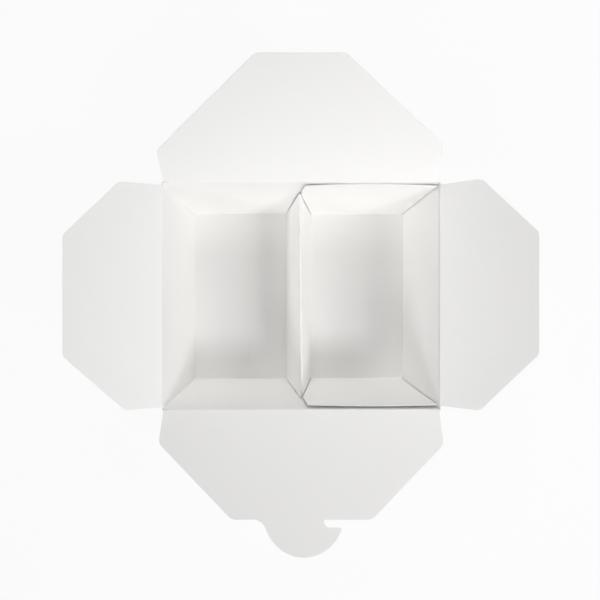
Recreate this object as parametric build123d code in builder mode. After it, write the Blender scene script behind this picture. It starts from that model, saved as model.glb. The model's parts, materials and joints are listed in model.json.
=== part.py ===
from build123d import *
import os
from math import atan2, cos, hypot, radians, sin, tan

# Folded takeout food box with a loose two-compartment insert, all in millimetres.
# +X points to the right-hand end, +Y to the back, +Z up.
# The origin is the centre of the underside of the box's floor.

# Driving dimensions
board = 0.45            # thickness of the paperboard
base_length = 152.4     # outside of the floor, along X
base_depth = 120.65     # outside of the floor, along Y
top_length = 171.45     # outside of the rim, along X
top_depth = 139.7       # outside of the rim, along Y
height = 63.5           # underside of the floor to the creases of the end flaps
crease_step = 0.75      # each flap that closes on another folds this much higher
crease_radius = 0.3     # rounded bead that the board makes at a crease
crease_gap = 0.65       # from a crease's axis down to the wall's top edge

# Lean of each flap above level, outwards
left_lean = 17
right_lean = 35
back_lean = 35
front_lean = 20

# Each side of a flap: half width at the crease, half width at the shoulder, distance of the
# shoulder from the crease, and half width of the free edge
left_flap_back_side = (68.2, 68.8, 25.6, 35.7)
left_flap_front_side = (68.2, 68.8, 22.0, 35.1)
right_flap_back_side = (68.4, 69.1, 24.9, 35.6)
right_flap_front_side = (67.3, 67.5, 23.8, 32.4)
back_flap_left_side = (84.5, 85.9, 20.2, 26.0)
back_flap_right_side = (82.8, 83.6, 23.3, 23.2)
front_flap_left_side = (84.5, 85.8, 20.1, 40.7)
front_flap_right_side = (84.5, 85.0, 20.8, 40.2)

# Crease to free edge, and half of each crease's bead
left_length, right_length, back_length, front_length = 57.0, 56.4, 74.2, 62.6
end_crease_half = 68.2
lid_crease_half = 84.2
end_corner = 5.0        # radius at the corners of the end flaps
lid_corner = 6.0        # radius at the corners of the back and front flaps

# Lock tongue on the front flap
tongue_radius = 23.2
tongue_reach = 82.5     # crease to the tongue's tip
tongue_offset = 0.8     # tongue's centre, to the right of the flap's centre
tongue_blend = 8.0      # hollow curve from the free edge into the tongue
notch_depth = 4.2       # height of the hook's notch
notch_start = 12.6      # from the flap's centre to the closed end of the notch
notch_bevel = 1.9       # cut corner inside the notch
hook_round = 0.9        # rounded point of the hook

# Folded corner webs, glued flat on the outside of the end walls
web_foot = 2.0          # clearance from the web's point to the underside
web_top = 61.0          # slant height of the web's outer corner
web_fold_top = 55.0     # slant height of the web's folded inner edge
web_thickness = 2.5 * board     # two layers, and half of the wall that they are glued to

# Insert: a tray for the right half, with a folded ridge as the divider
insert_clearance = 0.15
insert_rim = 62.9       # height of the insert's cut rim
divider_centre = -0.5   # X of the divider's folded ridge
divider_half = 8.7      # half of the distance between the ridge's feet
leg_lean = 10.5         # lean of the ridge's two panels from upright, in degrees
rim_setback = 4.2       # how far the insert's side walls step back above the ridge
corner_slit = 0.3       # open cut corners of the insert

# Worked out from the driving dimensions
length_flare = (top_length - base_length) / 2 / height
depth_flare = (top_depth - base_depth) / 2 / height
front_crease = height + crease_step
back_crease = height + 2 * crease_step
blank_top = back_crease + crease_radius
leg_foot = board / cos(radians(leg_lean))
leg_tip = board / sin(radians(leg_lean))
clear_of_box = 2 * top_length    # a size for cutting tools that reach past the box
ridge_apex = board + divider_half / tan(radians(leg_lean))
divider_height = ridge_apex - leg_tip + board
insert_side_face = base_depth / 2 - board - insert_clearance
insert_end_face = base_length / 2 - board - insert_clearance


def half_length(z):
    """Half of the box's outside length at height z."""
    return base_length / 2 + length_flare * z


def half_depth(z):
    """Half of the box's outside depth at height z."""
    return base_depth / 2 + depth_flare * z


def crease_plane(bearing, distance, crease_height, lean):
    """A flap's own plane: X along the crease, Y from the crease to the free edge."""
    turn = radians(bearing)
    tilt = radians(lean)
    return Plane(
        origin=(distance * cos(turn), distance * sin(turn), crease_height),
        x_dir=(sin(turn), -cos(turn), 0),
        z_dir=(-cos(turn) * sin(tilt), -sin(turn) * sin(tilt), cos(tilt)),
    )


def flap_blank(length, corner, plus_side, minus_side):
    """A flap's flat outline: straight sides, two chamfers and rounded corners."""
    plus_neck, plus_half, plus_shoulder, plus_free = plus_side
    minus_neck, minus_half, minus_shoulder, minus_free = minus_side
    with BuildSketch() as blank:
        with BuildLine():
            Polyline(
                (-minus_neck, 0),
                (-minus_half, minus_shoulder),
                (-minus_free, length),
                (plus_free, length),
                (plus_half, plus_shoulder),
                (plus_neck, 0),
                close=True,
            )
        make_face()
        fillet(blank.vertices().filter_by(lambda vertex: vertex.Y > corner), corner)
    return blank.sketch


def tongue_blank(body):
    """The front flap's outline, with its lock tongue and the notch behind the hook."""
    tongue_centre = tongue_reach - tongue_radius
    root = (tongue_offset + tongue_radius, front_length)
    with BuildSketch() as blank:
        add(body)
        with Locations((-tongue_offset, tongue_centre)):
            Circle(tongue_radius)
        with BuildLine():
            Polyline(
                (-notch_start, front_length),
                (-notch_start, front_length + notch_depth - notch_bevel),
                (-notch_start - notch_bevel, front_length + notch_depth),
                (-notch_start - 2 * tongue_radius, front_length + notch_depth),
                (-notch_start - 2 * tongue_radius, front_length),
                close=True,
            )
        make_face(mode=Mode.SUBTRACT)
        fillet(blank.vertices().sort_by_distance(root)[0], tongue_blend)
        hook = (-tongue_offset - tongue_radius, front_length + notch_depth)
        fillet(blank.vertices().sort_by_distance(hook)[0], hook_round)
    return blank.sketch


def creased_flap(label, plane, blank, crease_half):
    """A flap: its board panel, and the rounded bead along its crease."""
    with BuildPart() as flap:
        with BuildSketch(plane):
            add(blank)
        extrude(amount=board / 2, both=True)
        with BuildSketch(Plane(plane.origin, x_dir=plane.z_dir, z_dir=plane.x_dir)):
            Circle(crease_radius)
        extrude(amount=crease_half, both=True)
    flap.part.label = label
    return flap.part


def web_points(hand):
    """One folded web's outline on an end wall's plane, for the corner on the given hand."""
    corner_lean = atan2((top_depth - base_depth) / 2, hypot(height, height * length_flare))
    web_half_angle = radians(45) - corner_lean
    fold_lean = web_half_angle - corner_lean
    corner = base_depth / 2
    foot = hand * (corner + web_foot * tan(corner_lean))
    outer = hand * (corner + web_top * tan(corner_lean))
    inner = hand * (corner - web_fold_top * tan(fold_lean))
    inner_foot = hand * (corner - web_foot * tan(fold_lean))
    return (foot, web_foot), (outer, web_top), (inner, web_fold_top), (inner_foot, web_foot)


def end_wall_plane(side):
    """The outer face of an end wall: X along the wall, Y up the wall, Z outwards."""
    return Plane(
        origin=(side * base_length / 2, 0, 0),
        x_dir=(0, side, 0),
        z_dir=(side, 0, -length_flare),
    )


def side_wall_plane(side):
    """The outer face of the back (1) or front (-1) wall: Y up the wall, Z outwards."""
    return Plane(
        origin=(0, side * base_depth / 2, 0),
        x_dir=(-side, 0, 0),
        z_dir=(0, side, -depth_flare),
    )


# Flat blanks of the flaps
left_blank = flap_blank(left_length, end_corner, left_flap_back_side, left_flap_front_side)
right_blank = flap_blank(right_length, end_corner, right_flap_front_side, right_flap_back_side)
back_blank = flap_blank(back_length, lid_corner, back_flap_right_side, back_flap_left_side)
front_body = flap_blank(front_length, lid_corner, front_flap_left_side, front_flap_right_side)
front_blank = tongue_blank(front_body)

# Box body: floor, four leaning walls and four folded corner webs of one sheet
with BuildPart() as box_body:
    with BuildSketch(Plane.XY):
        Rectangle(base_length, base_depth)
    with BuildSketch(Plane.XY.offset(blank_top)):
        Rectangle(2 * half_length(blank_top), 2 * half_depth(blank_top))
    loft()
    with BuildSketch(Plane.XY.offset(board)):
        Rectangle(2 * (half_length(board) - board), 2 * (half_depth(board) - board))
    with BuildSketch(Plane.XY.offset(blank_top)):
        Rectangle(2 * (half_length(blank_top) - board), 2 * (half_depth(blank_top) - board))
    loft(mode=Mode.SUBTRACT)
    # Each wall ends just under its own flap's crease
    with BuildSketch(Plane.XY.offset(height - crease_gap)):
        Rectangle(clear_of_box, 2 * (half_depth(height) - 2 * board))
    extrude(amount=blank_top, mode=Mode.SUBTRACT)
    for wall_side, crease_height in ((1, back_crease), (-1, front_crease)):
        with BuildSketch(Plane.XY.offset(crease_height - crease_gap)):
            with Locations((0, wall_side * top_depth / 2)):
                Rectangle(clear_of_box, top_depth / 2)
        extrude(amount=blank_top, mode=Mode.SUBTRACT)
    for end_side in (1, -1):
        for hand in (1, -1):
            with BuildSketch(end_wall_plane(end_side).offset(-board / 2)):
                with BuildLine():
                    Polyline(*web_points(hand), close=True)
                make_face()
            extrude(amount=web_thickness)
box_body.part.label = "box_body"

# The end flaps close first, each on its own crease, then the front flap with its tongue,
# and last the back flap, which covers the tongue
left_plane = crease_plane(180, half_length(height) - board / 2, height, left_lean)
right_plane = crease_plane(0, half_length(height) - board / 2, height, right_lean)
front_plane = crease_plane(-90, half_depth(front_crease) - board / 2, front_crease, front_lean)
back_plane = crease_plane(90, half_depth(back_crease) - board / 2, back_crease, back_lean)
left_flap = creased_flap("left_flap", left_plane, left_blank, end_crease_half)
right_flap = creased_flap("right_flap", right_plane, right_blank, end_crease_half)
front_flap = creased_flap("front_flap", front_plane, front_blank, lid_crease_half)
back_flap = creased_flap("back_flap", back_plane, back_blank, lid_crease_half)

# Divider ridge: two panels that lean together, cut at both ends to the box's leaning walls
with BuildPart() as divider_ridge:
    with BuildSketch(Plane.XZ) as ridge_section:
        with BuildLine():
            Polyline(
                (divider_centre - divider_half, board),
                (divider_centre, ridge_apex),
                (divider_centre + divider_half, board),
                (divider_centre + divider_half - leg_foot, board),
                (divider_centre, ridge_apex - leg_tip),
                (divider_centre - divider_half + leg_foot, board),
                close=True,
            )
        make_face()
        fillet(ridge_section.vertices().sort_by(Axis.Y)[-1], board)
    extrude(amount=top_depth / 2, both=True)
    for side in (1, -1):
        split(bisect_by=side_wall_plane(side).offset(-board - insert_clearance), keep=Keep.BOTTOM)

# Insert: floor, end panel, two side panels and the divider, folded from one sheet
with BuildPart() as compartment_insert:
    add(divider_ridge.part)
    ridge_foot = divider_centre + divider_half
    with BuildSketch(Plane.XY.offset(board)):
        with Locations((ridge_foot - leg_foot / 2, 0)):
            Rectangle(insert_end_face - ridge_foot, 2 * insert_side_face, align=(Align.MIN, Align.CENTER))
    extrude(amount=board)
    end_rise = hypot(1, length_flare)
    with BuildSketch(end_wall_plane(1).offset(-board - insert_clearance)):
        with BuildLine():
            Polyline(
                (-insert_side_face, board * end_rise),
                (-insert_side_face - depth_flare * insert_rim, insert_rim * end_rise),
                (insert_side_face + depth_flare * insert_rim, insert_rim * end_rise),
                (insert_side_face, board * end_rise),
                close=True,
            )
        make_face()
    extrude(amount=-board)
    side_rise = hypot(1, depth_flare)
    panel_end = insert_end_face - board * end_rise - corner_slit
    for side in (1, -1):
        with BuildSketch(side_wall_plane(side).offset(-board - insert_clearance)):
            with BuildLine():
                Polyline(
                    (-side * (ridge_foot + corner_slit), board * side_rise),
                    (-side * (divider_centre + corner_slit), divider_height * side_rise),
                    (-side * (divider_centre + rim_setback), insert_rim * side_rise),
                    (-side * (panel_end + length_flare * insert_rim), insert_rim * side_rise),
                    (-side * panel_end, board * side_rise),
                    close=True,
                )
            make_face()
        extrude(amount=-board)
compartment_insert.part.label = "compartment_insert"

os.makedirs("parts", exist_ok=True)
export_step(box_body.part, "parts/box_body.step")
export_step(compartment_insert.part, "parts/compartment_insert.step")
export_step(left_flap, "parts/left_flap.step")
export_step(right_flap, "parts/right_flap.step")
export_step(front_flap, "parts/front_flap.step")
export_step(back_flap, "parts/back_flap.step")
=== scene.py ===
# %% [markdown]
# # A folded takeout food box with a loose divider
#
# The real thing is two sheets of white paperboard. One is creased, folded up and glued at its corner webs
# to make the box with its four flaps. The other is folded into a tray that drops into the right half, and its
# last fold makes the ridge between the two compartments.
#
# This lesson builds both sheets as thin bent surfaces, gives them thickness, and finishes them as coated board.
# Everything is in metres and in the frame of the packed model, so nothing has to be fitted.

# %% Load the packed model
import json
from math import atan, atan2, cos, degrees, exp, hypot, pi, radians, sin, sqrt, tan

import bmesh
import bpy
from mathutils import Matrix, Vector
from mathutils.geometry import delaunay_2d_cdt


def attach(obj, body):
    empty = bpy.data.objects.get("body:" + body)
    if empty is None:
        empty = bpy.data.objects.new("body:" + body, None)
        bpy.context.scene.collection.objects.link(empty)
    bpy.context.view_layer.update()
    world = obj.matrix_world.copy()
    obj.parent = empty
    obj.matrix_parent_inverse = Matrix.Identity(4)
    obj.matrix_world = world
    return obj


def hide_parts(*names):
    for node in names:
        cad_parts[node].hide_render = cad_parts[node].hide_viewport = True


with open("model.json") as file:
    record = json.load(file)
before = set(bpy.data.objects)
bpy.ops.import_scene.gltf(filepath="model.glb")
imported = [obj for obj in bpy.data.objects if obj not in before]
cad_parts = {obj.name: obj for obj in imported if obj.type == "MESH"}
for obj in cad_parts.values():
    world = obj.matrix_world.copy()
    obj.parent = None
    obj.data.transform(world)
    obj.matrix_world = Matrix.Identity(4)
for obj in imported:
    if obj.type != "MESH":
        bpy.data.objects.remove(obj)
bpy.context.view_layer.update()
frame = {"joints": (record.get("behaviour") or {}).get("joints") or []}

mm = 0.001
hinges = {joint["child"]: joint for joint in frame["joints"]}
print("hinges", {name: joint["range_deg"] for name, joint in hinges.items()})

# %% [markdown]
# ## The sizes of the two sheets
#
# The board is just under half a millimetre thick. The walls lean out, so that empty boxes nest in a stack.
# The crease heights and the lean of each flap come from the hinges of the packed model: a flap's lean above
# level is what is left of half a turn after the travel that closes it.

# %% Sizes
board = 0.45 * mm
floor_length = 152.4 * mm
floor_depth = 120.65 * mm
flare = 0.15                     # how far a wall leans out for each unit of height
end_crease = hinges["left_flap"]["pos_m"][2]
front_crease = hinges["front_flap"]["pos_m"][2]
back_crease = hinges["back_flap"]["pos_m"][2]
fold_radius = 0.7 * mm
bead_radius = 0.28 * mm


def lean_of(flap):
    """The flap's lean above level at rest, in radians."""
    return radians(180 - max(hinges[flap]["range_deg"]))


print("crease heights in mm", [round(z / mm, 2) for z in (end_crease, front_crease, back_crease)])
print("leans in degrees", {flap: round(degrees(lean_of(flap))) for flap in sorted(hinges)})

# %% [markdown]
# ## Shader maths written as Python
#
# A material is a small graph of nodes. Wrapping a socket in a class lets the graph be written as an ordinary
# expression: `0.6 * fibre + 0.4 * pulp` adds its Math nodes by itself. Numbers use Math nodes and vectors use
# Vector Math, while colours are blended with Mix, because a Math node would turn them grey.

# %% The socket wrapper
class Thread:
    """One output socket of a finish, with Python's operators."""

    def __init__(self, finish, socket):
        self.finish = finish
        self.socket = socket

    def _pair(self, operation, first, second):
        vector = any(isinstance(side, Thread) and side.socket.type == "VECTOR" for side in (first, second))
        kind = "ShaderNodeVectorMath" if vector else "ShaderNodeMath"
        return self.finish.node(kind, {"operation": operation}, {0: first, 1: second})

    def __add__(self, other):
        return self._pair("ADD", self, other)

    def __mul__(self, other):
        return self._pair("MULTIPLY", self, other)

    __radd__ = __add__
    __rmul__ = __mul__


class Finish:
    """A material under construction."""

    def __init__(self, name):
        self.material = bpy.data.materials.new(name)
        self.material.use_nodes = True
        self.tree = self.material.node_tree
        self.tree.nodes.clear()

    def node(self, kind, settings=None, inputs=None, output=0):
        """Adds a node: its settings first, then a value or a link for each of its sockets."""
        node = self.tree.nodes.new(kind)
        for name, value in (settings or {}).items():
            setattr(node, name, value)
        for name, value in (inputs or {}).items():
            if isinstance(value, Thread):
                self.tree.links.new(value.socket, node.inputs[name])
            else:
                node.inputs[name].default_value = value
        return Thread(self, node.outputs[output])

    def blend(self, amount, first, second):
        """A colour between two others."""
        return self.node("ShaderNodeMix", {"data_type": "RGBA"}, {0: amount, 6: first, 7: second}, output=2)

    def done(self, surface):
        """Joins the finished surface to the output."""
        end = self.tree.nodes.new("ShaderNodeOutputMaterial")
        self.tree.links.new(surface.socket, end.inputs["Surface"])
        return self.material


print("operators of a thread", [name for name in vars(Thread) if name.endswith(("add__", "mul__"))])

# %% [markdown]
# ## The finish of coated board
#
# White food board is bleached pulp with a smooth clay coat. Up close it has a faint cloudiness where the pulp
# lies thicker, a fine tooth that runs with the grain, and a satin sheen. Along a crease the coat is stretched
# and goes a little matt. The mask for that is stored on the mesh as `crease`, because the finish itself cannot
# know where the folds are.

# %% Coated board
def coated_board(name, tint, shade):
    """Satin white board: cloudy pulp, fine grain and rubbed creases."""
    finish = Finish(name)
    place = finish.node("ShaderNodeTexCoord", output=3)
    grain_place = place * (1.0, 0.22, 1.0)
    cloud = finish.node("ShaderNodeTexNoise", {}, {"Vector": place, "Scale": 45.0, "Detail": 3.0})
    pulp = finish.node("ShaderNodeTexNoise", {}, {"Vector": place, "Scale": 420.0, "Detail": 4.0})
    fibre = finish.node("ShaderNodeTexNoise", {}, {"Vector": grain_place, "Scale": 2600.0, "Detail": 3.0})
    crease = finish.node("ShaderNodeAttribute", {"attribute_name": "crease"}, output=2)
    cloudiness = 0.55 * cloud + 0.3 * pulp + 0.15 * fibre
    colour = finish.blend(cloudiness, shade, tint)
    colour = finish.blend(0.35 * crease, colour, tint)
    roughness = 0.46 + 0.1 * pulp + 0.12 * crease
    tooth = 0.6 * fibre + 0.4 * pulp
    normal = finish.node(
        "ShaderNodeBump", {}, {"Height": tooth, "Strength": 0.12, "Distance": 0.00006}
    )
    surface = finish.node(
        "ShaderNodeBsdfPrincipled",
        {},
        {"Base Color": colour, "Roughness": roughness, "Normal": normal, "Specular IOR Level": 0.35},
    )
    return finish.done(surface)


box_board = coated_board("box board", tint=(0.972, 0.967, 0.955, 1), shade=(0.956, 0.949, 0.936, 1))
insert_board = coated_board("insert board", tint=(0.974, 0.969, 0.957, 1), shade=(0.958, 0.951, 0.938, 1))
print("made", box_board.name, "and", insert_board.name)

# %% [markdown]
# ## The raw edge
#
# Where the die cut through the sheet, the uncoated middle shows: plain fibre, matt, a touch warmer, and in thin
# layers. Noise squashed along the height gives those layers.

# %% Cut edge
def cut_edge(name):
    """The bare middle of the board, as the cutting rule leaves it."""
    finish = Finish(name)
    place = finish.node("ShaderNodeTexCoord", output=3)
    layers = finish.node(
        "ShaderNodeTexNoise", {}, {"Vector": place * (0.3, 0.3, 3.0), "Scale": 1500.0, "Detail": 4.0}
    )
    colour = finish.blend(layers, (0.74, 0.73, 0.70, 1), (0.86, 0.855, 0.83, 1))
    normal = finish.node("ShaderNodeBump", {}, {"Height": layers, "Strength": 0.3, "Distance": 0.0001})
    surface = finish.node(
        "ShaderNodeBsdfPrincipled",
        {},
        {"Base Color": colour, "Roughness": 0.8 + 0.1 * layers, "Normal": normal},
    )
    return finish.done(surface)


edge_board = cut_edge("cut edge")
print("made", edge_board.name)

# %% [markdown]
# ## Thickness and folds
#
# Each sheet is modelled as the surface halfway through the board. Solidify then gives it the board's thickness
# on both sides, with the cut edge as its rim. Folds are short arcs, so the light runs round them as it does on
# a scored and bent sheet.

# %% Turning a bent surface into a sheet of board
weld_gap = 0.004 * mm            # points closer than this are joined
crisp_angle = radians(32)


def sheet_of_board(name, shells, body, nodes, finish, thickness=board):
    """One piece of board from surfaces given as (points, faces, crease weights)."""
    mesh = bpy.data.meshes.new(name)
    blank = bmesh.new()
    weight = blank.verts.layers.float.new("crease")
    for points, faces, weights in shells:
        made = []
        for point, amount in zip(points, weights):
            vertex = blank.verts.new(point)
            vertex[weight] = amount
            made.append(vertex)
        for face in faces:
            blank.faces.new([made[index] for index in face])
    bmesh.ops.remove_doubles(blank, verts=blank.verts, dist=weld_gap)
    for face in blank.faces:
        face.smooth = True
    blank.to_mesh(mesh)
    blank.free()
    piece = bpy.data.objects.new(name, mesh)
    bpy.context.scene.collection.objects.link(piece)
    mesh.materials.append(finish)
    mesh.materials.append(edge_board)
    thick = piece.modifiers.new("board", "SOLIDIFY")
    thick.thickness = thickness
    thick.offset = 0
    thick.use_even_offset = True
    thick.thickness_clamp = 0
    thick.material_offset_rim = 1
    apply_modifiers(piece)
    sharpen(piece, crisp_angle)
    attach(piece, body)
    if nodes:
        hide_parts(*nodes)
    print(name, "has", len(piece.data.polygons), "faces")
    return piece


def apply_modifiers(piece):
    """Replaces the mesh by what its modifiers make of it."""
    depsgraph = bpy.context.evaluated_depsgraph_get()
    final = bpy.data.meshes.new_from_object(piece.evaluated_get(depsgraph))
    piece.modifiers.clear()
    piece.data = final


def sharpen(piece, angle):
    """Keeps the light crisp across every edge that turns by more than the angle."""
    sheet = bmesh.new()
    sheet.from_mesh(piece.data)
    for edge in sheet.edges:
        edge.smooth = len(edge.link_faces) == 2 and edge.calc_face_angle(0) < angle
    sheet.to_mesh(piece.data)
    sheet.free()


def grid_shell(rows, weights):
    """A surface through rows of points, one weight for each row."""
    across = len(rows[0])
    points = [point for row in rows for point in row]
    marks = [weight for row, weight in zip(rows, weights) for _ in row]
    faces = []
    for level in range(len(rows) - 1):
        for step in range(across - 1):
            start = level * across + step
            faces.append((start, start + 1, start + across + 1, start + across))
    return points, faces, marks


def steps(low, high, count):
    """Evenly spaced values, both ends included."""
    return [low + (high - low) * index / count for index in range(count + 1)]


print("fold radius in mm", fold_radius / mm)

# %% [markdown]
# ## How a wall leaves the floor
#
# In section, each wall is the floor's line, an arc at the fold, then a straight line that leans out. The centre
# of the arc is one fold radius from both lines.

# %% Section of a fold between a floor and a leaning wall
fold_steps = 5


def wall_section(floor_half, floor_level, lean, top, rows):
    """Points (outward, up, crease weight) from the floor's edge to the top of a wall.

    floor_half is where the wall's line would meet height zero."""
    centre_up = floor_level + fold_radius
    centre_out = floor_half + lean * centre_up - fold_radius * hypot(1, lean)
    section = []
    for turn in steps(-pi / 2, -atan(lean), fold_steps):
        out = centre_out + fold_radius * cos(turn)
        up = centre_up + fold_radius * sin(turn)
        section.append((out, up, 1.0))
    start = section[-1][1]
    for up in steps(start, top, rows)[1:]:
        section.append((floor_half + lean * up, up, 0.0))
    return section


example = wall_section(floor_length / 2, board / 2, flare, end_crease, 4)
print("an end wall leans out by", round((example[-1][0] - floor_length / 2) / mm, 1), "mm")

# %% [markdown]
# ## The box: floor and walls
#
# Rings climb from the floor to the creases. Each wall bows out a little in the middle, because board that has
# been creased flat and folded up never ends dead flat. The long walls rise slightly higher than the end walls,
# since their flaps fold over the others.

# %% Floor and walls
wall_rows = 16
along = 36
across = 30
shoulder = 1.6 * mm              # each wall steps up to its own crease next to the corner
floor_level = board / 2
half_x = floor_length / 2 - board / 2
half_y = floor_depth / 2 - board / 2
bow = {"front": 0.5 * mm, "right": 0.3 * mm, "back": 0.8 * mm, "left": 0.6 * mm}
buckle = 0.7 * mm                # the extra hump of the back wall
buckle_place = -0.62             # where it is along the wall, from -1 to 1
buckle_spread = 0.2


def crease_height(side, place, half):
    """Height of the crease along a wall; place runs from -1 to 1."""
    own = {"front": front_crease, "back": back_crease}.get(side, end_crease)
    rise = min(1, (1 - abs(place)) * half / shoulder)
    return end_crease + (own - end_crease) * rise


def wall_bow(side, place, height_share):
    """How far a wall stands proud of flat: a bow, and in the back wall a buckle by its left corner."""
    bend = bow[side] * (1 - place ** 2) * sin(pi * height_share)
    if side == "back":
        hump = exp(-((place - buckle_place) / buckle_spread) ** 2) * sin(pi * height_share) ** 2
        bend += buckle * hump
    return bend


def wall_point(side, place, section_x, section_y, height_share):
    """A point of a wall at a place along it."""
    out_x, up, _ = section_x
    out_y = section_y[0]
    bend = wall_bow(side, place, height_share)
    if side in ("front", "back"):
        extra = (crease_height(side, place, out_x) - end_crease) * height_share
        hand = 1 if side == "back" else -1
        return Vector((place * (out_x + flare * extra), hand * (out_y + flare * extra + bend), up + extra))
    hand = 1 if side == "right" else -1
    return Vector((hand * (out_x + bend), place * out_y, up))


def box_walls():
    """The four walls and the floor as one surface."""
    section_x = wall_section(half_x, floor_level, flare, end_crease, wall_rows)
    section_y = wall_section(half_y, floor_level, flare, end_crease, wall_rows)
    shells = []
    for side, count in (("front", along), ("right", across), ("back", along), ("left", across)):
        rows = []
        marks = []
        for level, (at_x, at_y) in enumerate(zip(section_x, section_y)):
            share = max(0, (level - fold_steps) / wall_rows)
            rows.append([wall_point(side, place, at_x, at_y, share) for place in steps(-1, 1, count)])
            marks.append(at_x[2] if level < len(section_x) - 1 else 1.0)
        if side in ("back", "left"):
            rows = [row[::-1] for row in rows]
        shells.append(grid_shell(rows, marks))
    floor_x = section_x[0][0]
    floor_y = section_y[0][0]
    rows = [[Vector((x, y, floor_level)) for x in steps(-floor_x, floor_x, along)]
            for y in steps(-floor_y, floor_y, across)]
    shells.append(grid_shell(rows, [0.0] * len(rows)))
    return shells


box_shells = box_walls()
print("box sheet has", sum(len(shell[1]) for shell in box_shells), "faces before thickness")

# %% [markdown]
# ## The corner webs
#
# The sheet does not end at a corner: a web of board joins the two walls, is folded in half along its middle
# and glued flat on the outside of the end wall. Outside it shows as a double triangle with a rounded fold.
# Each layer is its own thin surface here, so the cut top shows two leaves.

# %% Folded webs on the end walls
slant = hypot(1, flare)
corner_lean = atan2(flare, slant)
web_fold_lean = pi / 4 - 2 * corner_lean
web_foot = 2.0 * mm
web_top = 61.0 * mm
web_fold_top = 55.0 * mm
web_board = 0.44 * mm
inner_leaf = (0.25 * mm, 0.0)            # depth outside the end wall, and how far the folded edge lifts
outer_leaf = (0.71 * mm, 0.25 * mm)
web_fold_lift = 0.12 * mm
web_fold_radius = 0.42 * mm
web_rows = 14
web_columns = 12


def web_layer(end, hand, depth, lift):
    """One leaf of a web, at a depth outside the end wall; it lifts a little at its folded edge."""
    corner = floor_depth / 2
    leaves = []
    marks = []
    for climb in steps(0, 1, web_rows):
        outer_up = web_foot + (web_top - web_foot) * climb
        inner_up = web_foot + (web_fold_top - web_foot) * climb
        outer = corner + outer_up * flare / slant
        inner = corner - inner_up * tan(web_fold_lean)
        row = []
        for share in steps(0, 1, web_columns):
            up = outer_up + (inner_up - outer_up) * share
            y = outer + (inner - outer) * share
            along_wall = min(1, abs(y) / (corner + up * flare))
            bulge = wall_bow("right" if end > 0 else "left", along_wall, up / slant / end_crease)
            away = depth + bulge + lift * share * climb
            height = up / slant - away * flare / slant
            x = floor_length / 2 + flare * up / slant + away
            row.append(Vector((end * x, hand * y, height)))
        leaves.append(row if end * hand < 0 else row[::-1])
        marks.append(0.0)
    return grid_shell(leaves, marks)


def web_fold(end, hand, lift):
    """The rounded fold that joins the two leaves of a web along its inner edge."""
    points = []
    for climb in steps(0, 1, web_rows):
        inner_up = web_foot + (web_fold_top - web_foot) * climb
        y = floor_depth / 2 - inner_up * tan(web_fold_lean)
        away = board + lift * climb
        height = inner_up / slant - away * flare / slant
        x = floor_length / 2 + flare * inner_up / slant + away
        points.append(Vector((end * x, hand * y, height)))
    return points


def tube(points, radius, sides=10):
    """A closed rounded bead along a line of points."""
    aslant = Vector((0.3, 0.2, 1)).normalized()      # runs along no fold, so it can square up every ring
    rings = []
    for index, point in enumerate(points):
        before = points[max(0, index - 1)]
        after = points[min(len(points) - 1, index + 1)]
        ahead = (after - before).normalized()
        side = ahead.cross(aslant).normalized()
        up = side.cross(ahead)
        rings.append([point + radius * (cos(turn) * side + sin(turn) * up)
                      for turn in [2 * pi * step / sides for step in range(sides)]])
    corners = [corner for ring in rings for corner in ring]
    faces = []
    for level in range(len(rings) - 1):
        for step in range(sides):
            start = level * sides
            faces.append((start + step, start + (step + 1) % sides,
                          start + sides + (step + 1) % sides, start + sides + step))
    faces.append(tuple(range(sides))[::-1])
    faces.append(tuple((len(rings) - 1) * sides + step for step in range(sides)))
    return corners, faces


def add_solid(piece, corners, faces, weight=1.0):
    """Adds a closed shape to a finished piece."""
    sheet = bmesh.new()
    sheet.from_mesh(piece.data)
    layer = sheet.verts.layers.float.get("crease") or sheet.verts.layers.float.new("crease")
    made = []
    for corner in corners:
        vertex = sheet.verts.new(corner)
        vertex[layer] = weight
        made.append(vertex)
    new_faces = []
    for face in faces:
        new = sheet.faces.new([made[index] for index in face])
        new.smooth = True
        new_faces.append(new)
    bmesh.ops.recalc_face_normals(sheet, faces=new_faces)
    sheet.to_mesh(piece.data)
    sheet.free()


sheet_of_board("folded_box", box_shells, "box", ["box_body"], box_board)
web_shells = [web_layer(end, hand, depth, lift)
              for end in (1, -1) for hand in (1, -1)
              for depth, lift in (inner_leaf, outer_leaf)]
web_piece = sheet_of_board("corner_webs", web_shells, "box", [], box_board, web_board)
for end in (1, -1):
    for hand in (1, -1):
        corners, faces = tube(web_fold(end, hand, web_fold_lift), web_fold_radius)
        add_solid(web_piece, corners, faces)

# %% [markdown]
# ## The outline of a flap
#
# A flap is cut with straight sides, two chamfers and a straight free edge, and every corner is rounded by the
# cutting rule. One helper rounds the corners of any outline, and another fills the outline with small
# triangles, so that the flap can be bent slightly afterwards.

# %% Outlines and flap panels
flap_spacing = 5 * mm
crease_band = 1.5 * mm           # how far from the crease the coat is stretched


def rounded(corners):
    """An outline through (across, out, radius) corners, with each corner turned into an arc."""
    outline = []
    count = len(corners)
    for index, (across_at, out_at, radius) in enumerate(corners):
        here = Vector((across_at, out_at))
        before = (Vector(corners[index - 1][:2]) - here).normalized()
        after = (Vector(corners[(index + 1) % count][:2]) - here).normalized()
        if radius <= 0:
            outline.append(here)
            continue
        half = before.angle(after) / 2
        reach = radius / sin(half) * cos(half)
        centre = here + (before + after).normalized() * radius / sin(half)
        first = here + before * reach - centre
        last = here + after * reach - centre
        for share in steps(0, 1, 6):
            spoke = first.lerp(last, share).normalized() * radius
            outline.append(centre + spoke)
    return outline


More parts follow.
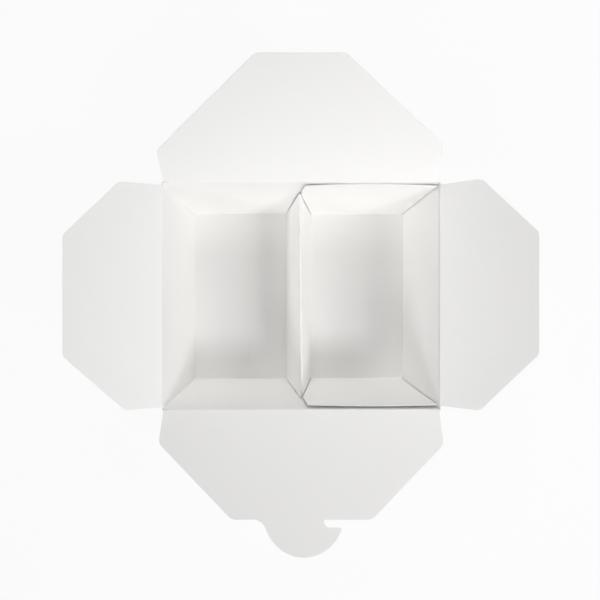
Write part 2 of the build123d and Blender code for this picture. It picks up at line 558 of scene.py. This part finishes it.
def flap_corners(length, corner, plus_side, minus_side):
    """Corners of a plain flap, from one end of its crease round to the other."""
    corners = []
    for hand, (neck, half, shoulder, free) in ((1, plus_side), (-1, minus_side)):
        climb = [(hand * neck, 0, 0), (hand * half, shoulder, corner), (hand * free, length, corner)]
        corners += climb if hand > 0 else climb[::-1]
    return [(across_at * mm, out_at * mm, radius * mm) for across_at, out_at, radius in corners]


def filled(outline, spacing):
    """Triangles that fill an outline, with points inside it on a grid."""
    low_x = min(point.x for point in outline)
    high_x = max(point.x for point in outline)
    high_y = max(point.y for point in outline)
    fence = [Vector((point.x, point.y)) for point in outline]
    clearance = 0.45 * spacing
    inner = []
    for x in steps(low_x, high_x, round((high_x - low_x) / spacing))[1:-1]:
        for y in steps(0, high_y, round(high_y / spacing))[1:-1]:
            spot = Vector((x, y))
            if min((spot - point).length for point in fence) > clearance:
                inner.append(spot)
    edges = [(index, (index + 1) % len(fence)) for index in range(len(fence))]
    found = delaunay_2d_cdt(fence + inner, edges, [], 1, 1e-7)
    return found[0], [tuple(face) for face in found[2]]


def flap_piece(name, outline, neck, curl):
    """A flap on its hinge: the panel, leaning as it rests, and the bead of its crease."""
    hinge = hinges[name]
    origin = Vector(hinge["pos_m"])
    outward = Vector((origin.x, origin.y, 0)).normalized()
    sideways = Vector((-outward.y, outward.x, 0))
    lean = lean_of(name)
    away = outward * cos(lean) + Vector((0, 0, sin(lean)))
    normal = sideways.cross(away) if sideways.cross(away).z > 0 else away.cross(sideways)
    flat, faces = filled(outline, flap_spacing)
    length = max(point.y for point in outline)
    points = []
    weights = []
    for point in flat:
        share = point.y / length
        bend = curl * share ** 2
        points.append(origin + sideways * point.x + away * point.y + normal * bend)
        weights.append(max(0.0, 1 - point.y / crease_band))
    piece = sheet_of_board(name + "_panel", [(points, faces, weights)], name, [name], box_board)
    bead_line = [origin + sideways * x for x in steps(-neck, neck, 24)]
    corners, bead_faces = tube(bead_line, bead_radius)
    add_solid(piece, corners, bead_faces)


print("corners of a square flap once rounded", len(rounded([(0, 0, 1), (9, 0, 1), (9, 9, 1), (0, 9, 1)])))

# %% [markdown]
# ## End flaps and back flap
#
# Each side of a flap is given by four numbers: half of its width at the crease and at the shoulder, how far out
# the shoulder is, and half of the free edge. The two sides differ a little, as the flaps of a cheap box do. The
# back flap is long and has no tongue: the front flap's tongue tucks under its plain free edge.

# %% End flaps and back flap
left_front_side = (68.2, 68.8, 22.0, 35.1)       # in millimetres, as are the lengths and corners
left_back_side = (68.2, 68.8, 25.6, 35.7)
right_back_side = (68.4, 69.1, 24.9, 35.6)
right_front_side = (67.3, 67.5, 23.8, 32.4)
back_left_side = (84.5, 85.9, 20.2, 26.0)
back_right_side = (82.8, 83.6, 23.3, 23.2)
left_length = 57.0
right_length = 56.4
back_length = 74.2
end_corner = 5
lid_corner = 6
end_crease_half = 68.2 * mm
lid_crease_half = 84.2 * mm

left_outline = rounded(flap_corners(left_length, end_corner, left_front_side, left_back_side))
right_outline = rounded(flap_corners(right_length, end_corner, right_back_side, right_front_side))
back_outline = rounded(flap_corners(back_length, lid_corner, back_left_side, back_right_side))
flap_piece("left_flap", left_outline, end_crease_half, curl=0.8 * mm)
flap_piece("right_flap", right_outline, end_crease_half, curl=0.3 * mm)
flap_piece("back_flap", back_outline, lid_crease_half, curl=0.6 * mm)

# %% [markdown]
# ## The front flap and its lock tongue
#
# The tongue is part of a circle. On the left a hollow curve leads into it from the free edge. On the right a
# notch is cut in beside it, which leaves a hook that catches behind the back flap.

# %% Front flap
def arc(centre, radius, start, stop, count):
    """Corners along an arc, for an outline."""
    return [(centre[0] + radius * cos(turn), centre[1] + radius * sin(turn), 0)
            for turn in steps(start, stop, count)]


front_right_side = (84.5, 85.0, 20.8, 40.2)
front_left_side = (84.5, 85.8, 20.1, 40.7)
front_length = 62.6
free_edge = front_length * mm
tongue_radius = 23.2 * mm
tongue_reach = 82.5 * mm
tongue_centre = (0.8 * mm, tongue_reach - tongue_radius)
blend_radius = 8 * mm
notch_depth = 4.2 * mm
notch_start = 12.6 * mm
notch_bevel = 1.9 * mm
hook_turn = 0.06                 # radians by which the round starts past the hook's corner

blend_up = free_edge + blend_radius - tongue_centre[1]
blend_out = sqrt((tongue_radius + blend_radius) ** 2 - blend_up ** 2)
blend_centre = (tongue_centre[0] - blend_out, free_edge + blend_radius)
blend_angle = atan2(blend_up, -blend_out)
hook_up = free_edge + notch_depth - tongue_centre[1]
hook_out = sqrt(tongue_radius ** 2 - hook_up ** 2)
hook_angle = atan2(hook_up, hook_out)

plain = flap_corners(front_length, lid_corner, front_right_side, front_left_side)
notch = [(notch_start, free_edge, 0.3 * mm),
         (notch_start, free_edge + notch_depth - notch_bevel, 0.4 * mm),
         (notch_start + notch_bevel, free_edge + notch_depth, 0.4 * mm),
         (tongue_centre[0] + hook_out, free_edge + notch_depth, 0.8 * mm)]
tongue = arc(tongue_centre, tongue_radius, hook_angle + hook_turn, blend_angle, 30)
hollow = arc(blend_centre, blend_radius, blend_angle - pi, -pi / 2, 8)[1:]
front_outline = rounded(plain[:3] + notch + tongue + hollow + plain[3:])
flap_piece("front_flap", front_outline, lid_crease_half, curl=-0.4 * mm)

# %% [markdown]
# ## The insert
#
# The insert is a tray with one side folded over. From its right end the sheet runs down the end panel, along
# the floor, up one leg of the divider, over a tight fold and down the other leg to the box's floor. The two
# long panels fold up from the floor, and their corners are left open, cut but not glued.

# %% Sizes of the insert
insert_gap = 0.08 * mm
insert_rim = 62.9 * mm
insert_floor = 1.5 * board
insert_rows = 16
end_half = floor_length / 2 - 1.5 * board - insert_gap
side_half = floor_depth / 2 - 1.5 * board - insert_gap
ridge_x = -0.5 * mm
foot_half = 8.7 * mm
leg_lean = radians(10.5)
ridge_turn = 0.26 * mm
ridge_slant = 1.2 * mm           # the ridge's front end stands this much to the right of its back end
ridge_lift = 0.6 * mm            # its back end is a little high
ridge_dip = 3.2 * mm             # and from there it drops to the front
corner_slit = 0.35 * mm
rim_setback = 2.4 * mm
back_rim_pull = (0.0, 1.1 * mm)          # how far each rim springs inwards, at its middle and at its ends
front_rim_pull = (1.4 * mm, 2.1 * mm)
slot_depth = 0.8 * mm
leg_rows = 12
divider_columns = 30
tray_columns = 24
corner_height = 3 * mm           # the end panel widens to the long panels within this height


def insert_half_depth(height):
    """Half of the insert's depth at a height, to the middle of its board."""
    return side_half + flare * height


print("depth of the insert at its rim in mm", round(2 * insert_half_depth(insert_rim) / mm, 1))

# %% [markdown]
# ## The divider
#
# Two leaning legs meet in a fold. The right one rises from the tray's floor and the left one stands on the
# box's floor. Folded board never runs quite true, so the ridge runs a little aslant and drops to the front,
# where a short slot is cut in the fold.

# %% Divider
def leg_section():
    """The divider in section, from the floor's fold up, over the ridge and down: (x, height, weight)."""
    foot_x = ridge_x + foot_half - board / 2 / cos(leg_lean)
    centre_up = insert_floor + fold_radius
    centre_x = foot_x - tan(leg_lean) * (centre_up - board) + fold_radius / cos(leg_lean)
    section = [(centre_x - fold_radius * sin(turn), centre_up - fold_radius * cos(turn), 1.0)
               for turn in steps(0, pi / 2 - leg_lean, fold_steps)]
    start_x, start_up, _ = section[-1]
    apex_up = board + foot_half / tan(leg_lean) - board / 2 / sin(leg_lean)
    round_centre = apex_up - ridge_turn / sin(leg_lean)
    join_up = round_centre + ridge_turn * sin(leg_lean)
    join_x = ridge_turn * cos(leg_lean)
    for share in steps(0, 1, leg_rows)[1:]:
        across_at = start_x + (ridge_x + join_x - start_x) * share
        section.append((across_at, start_up + (join_up - start_up) * share, float(share == 1)))
    for turn in steps(leg_lean, pi - leg_lean, 8)[1:-1]:
        section.append((ridge_x + ridge_turn * cos(turn), round_centre + ridge_turn * sin(turn), 1.0))
    foot_left = ridge_x - foot_half + board / 2 / cos(leg_lean)
    for share in steps(0, 1, leg_rows):
        across_at = ridge_x - join_x + (foot_left - ridge_x + join_x) * share
        section.append((across_at, join_up + (board - join_up) * share, float(share == 0)))
    return section


def divider_shell():
    """The divider's two legs and its ridge, between the two long walls."""
    section = leg_section()
    floor_y = insert_half_depth(insert_floor)
    ridge_up = max(up for _, up, _ in section)
    rows = []
    for across_at, up, _ in section:
        share = up / ridge_up
        row = []
        for place in steps(-1, 1, divider_columns):
            forward = (1 - place) / 2
            lift = (ridge_lift - ridge_dip * forward ** 1.5) * share ** 2
            y = place * max(floor_y, insert_half_depth(up) - 0.1 * mm)
            row.append(Vector((across_at + ridge_slant * forward * share, y, up + lift)))
        rows.append(row)
    points, faces, marks = grid_shell(rows, [mark for _, _, mark in section])
    ridge_rows = [level for level, (_, up, _) in enumerate(section) if up > ridge_up - slot_depth]
    slot = [divider_columns * level for level in ridge_rows[:-1]]
    return points, [face for index, face in enumerate(faces) if index not in slot], marks


print("ridge height in mm", round(max(up for _, up, _ in leg_section()) / mm, 1))

# %% [markdown]
# ## The tray
#
# The end panel and the two long panels fold up from the floor. Above the ridge each long panel steps back to
# its rim, with a straight cut at the front and a rounded one at the back. The rims spring inwards, most at
# their ends and more at the front, which leaves a thin dark gap between the two sheets.

# %% Tray
def tray_left_edge(up, hand, ridge_up):
    """The left cut edge of a long panel: along the divider's leg, then stepping back to the rim."""
    floor_left = leg_section()[0][0]
    slide = ridge_slant * (1 - hand) / 2 * min(1, up / ridge_up)
    top_left = ridge_x + board
    if up < ridge_up:
        share = max(0, (up - insert_floor) / (ridge_up - insert_floor))
        return floor_left + (top_left - floor_left) * share + corner_slit + slide
    share = (up - ridge_up) / (insert_rim - ridge_up)
    if hand > 0:
        share = (share + 1 - sqrt(1 - share ** 2)) / 2
    return top_left + corner_slit + slide + rim_setback * share


def tray_shells():
    """Floor, end panel and long panels."""
    end_section = wall_section(end_half, insert_floor, flare, insert_rim, insert_rows)
    side_section = wall_section(side_half, insert_floor, flare, insert_rim, insert_rows)
    divider = leg_section()
    floor_left = divider[0][0]
    floor_right = end_section[0][0]
    floor_y = side_section[0][0]
    ridge_up = max(up for _, up, _ in divider)
    columns = [floor_left] + steps(floor_left + corner_slit, floor_right - corner_slit, tray_columns)
    columns.append(floor_right)
    rows = [[Vector((x, y, insert_floor)) for x in columns] for y in steps(-floor_y, floor_y, divider_columns)]
    shells = [grid_shell(rows, [0.0] * len(rows))]
    rows = []
    for out, up, _ in end_section:
        reach = floor_y + (insert_half_depth(up) - floor_y) * min(1, up / corner_height)
        rows.append([Vector((out, place * reach, up)) for place in steps(1, -1, divider_columns)])
    shells.append(grid_shell(rows, [mark for _, _, mark in end_section]))
    for hand, (middle, ends) in ((1, back_rim_pull), (-1, front_rim_pull)):
        rows = []
        for out, up, _ in side_section:
            share = max(0, (up - insert_floor) / (insert_rim - insert_floor))
            left = tray_left_edge(up, hand, ridge_up)
            right = floor_right - corner_slit + flare * (up - insert_floor)
            row = []
            for place in steps(0, 1, tray_columns):
                inwards = (ends + (middle - ends) * sin(pi * place) ** 0.8) * share ** 2
                row.append(Vector((left + (right - left) * place, hand * (out - inwards), up)))
            rows.append(row if hand < 0 else row[::-1])
        shells.append(grid_shell(rows, [mark for _, _, mark in side_section]))
    return shells


insert_shells = tray_shells() + [divider_shell()]
sheet_of_board("folded_insert", insert_shells, "box", ["compartment_insert"], insert_board)

# %% [markdown]
# ## The floor
#
# The box stands on a plain white floor. Seen by the camera the floor is almost pure white, yet it still takes
# the box's soft shadow. It lies a hair below the box, so that the two never share a surface.

# %% Floor
def pale_floor():
    """A white studio floor that keeps a faint shadow."""
    finish = Finish("studio floor")
    place = finish.node("ShaderNodeTexCoord", output=3)
    speckle = finish.node("ShaderNodeTexNoise", {}, {"Vector": place, "Scale": 30.0})
    colour = finish.blend(speckle, (0.80, 0.80, 0.80, 1), (0.82, 0.82, 0.82, 1))
    paint = finish.node("ShaderNodeBsdfDiffuse", {}, {"Color": colour})
    glow = finish.node("ShaderNodeEmission", {}, {"Color": (1, 1, 1, 1), "Strength": 1.0})
    seen = finish.node("ShaderNodeLightPath")
    surface = finish.node("ShaderNodeMixShader", {}, {0: 0.92 * seen, 1: paint, 2: glow})
    return finish.done(surface)


floor_drop = 0.2 * mm
bpy.ops.mesh.primitive_plane_add(size=6, location=(0, 0, -floor_drop))
floor = bpy.context.object
floor.name = "studio_floor"
floor.data.materials.append(pale_floor())
print("staged", floor.name)

# %% [markdown]
# ## The lamps
#
# The sky is white where the camera sees it and gives no light. Six soft lamps stand around the box. The key
# lamp is the smallest, to the right and front, so each compartment has a soft-edged shadow on those sides.
# Three of the others have a grid that keeps their light on the compartments. White board throws it to and fro
# until even the corners are bright.

# %% Sky and lamps
world = bpy.data.worlds.new("studio sky")
world.use_nodes = True
bpy.context.scene.world = world
sky = world.node_tree.nodes["Background"]
seen_directly = world.node_tree.nodes.new("ShaderNodeLightPath").outputs["Is Camera Ray"]
sky.inputs["Color"].default_value = (1, 1, 1, 1)
world.node_tree.links.new(seen_directly, sky.inputs["Strength"])
lamp_target = Vector((0, 0, 40 * mm))


def soft_lamp(name, bearing, height, distance, size, power, spread=180):
    """A square soft lamp aimed at the box: angles in degrees, lengths in metres, power in watts."""
    turn = radians(bearing)
    rise = radians(height)
    data = bpy.data.lights.new(name, "AREA")
    data.shape = "SQUARE"
    data.size = size
    data.energy = power
    data.spread = radians(spread)
    lamp = bpy.data.objects.new(name, data)
    lamp.location = distance * Vector((cos(turn) * cos(rise), sin(turn) * cos(rise), sin(rise)))
    aim = lamp_target - lamp.location
    lamp.rotation_euler = aim.to_track_quat("-Z", "Y").to_euler()
    bpy.context.scene.collection.objects.link(lamp)


soft_lamp("key_lamp", -42, 48, 0.95, 0.25, 2.9)
soft_lamp("back_lamp", 90, 42, 1.0, 0.5, 3.2)
soft_lamp("right_lamp", 0, 35, 1.0, 0.5, 2.1)
soft_lamp("front_grid_lamp", 270, 36, 1.0, 0.4, 0.16, 36)
soft_lamp("front_left_grid_lamp", 225, 32, 1.2, 0.6, 0.25, 36)
soft_lamp("left_grid_lamp", 180, 40, 1.0, 0.4, 0.11, 36)

# %% [markdown]
# ## The camera
#
# The box is seen from straight above, from close enough that the walls open out in perspective. A slight shift
# of the lens, rather than a tilt, sets the box in its place, so the rim stays square.

# %% Camera
above_rim = 346.8 * mm
stand_height = end_crease + above_rim
camera_data = bpy.data.cameras.new("overhead")
camera_data.sensor_width = 36    # this and the lens are in millimetres
camera_data.lens = 33.8808
camera_data.shift_x = 0.0205
camera_data.shift_y = -0.0065
camera_data.clip_start = 0.01
camera = bpy.data.objects.new("overhead", camera_data)
camera.location = (-8.33 * mm, 0, stand_height)
bpy.context.scene.collection.objects.link(camera)
bpy.context.scene.camera = camera
bpy.context.scene.view_settings.view_transform = "Standard"
print("camera height in mm", round(stand_height / mm))

# %% [markdown]
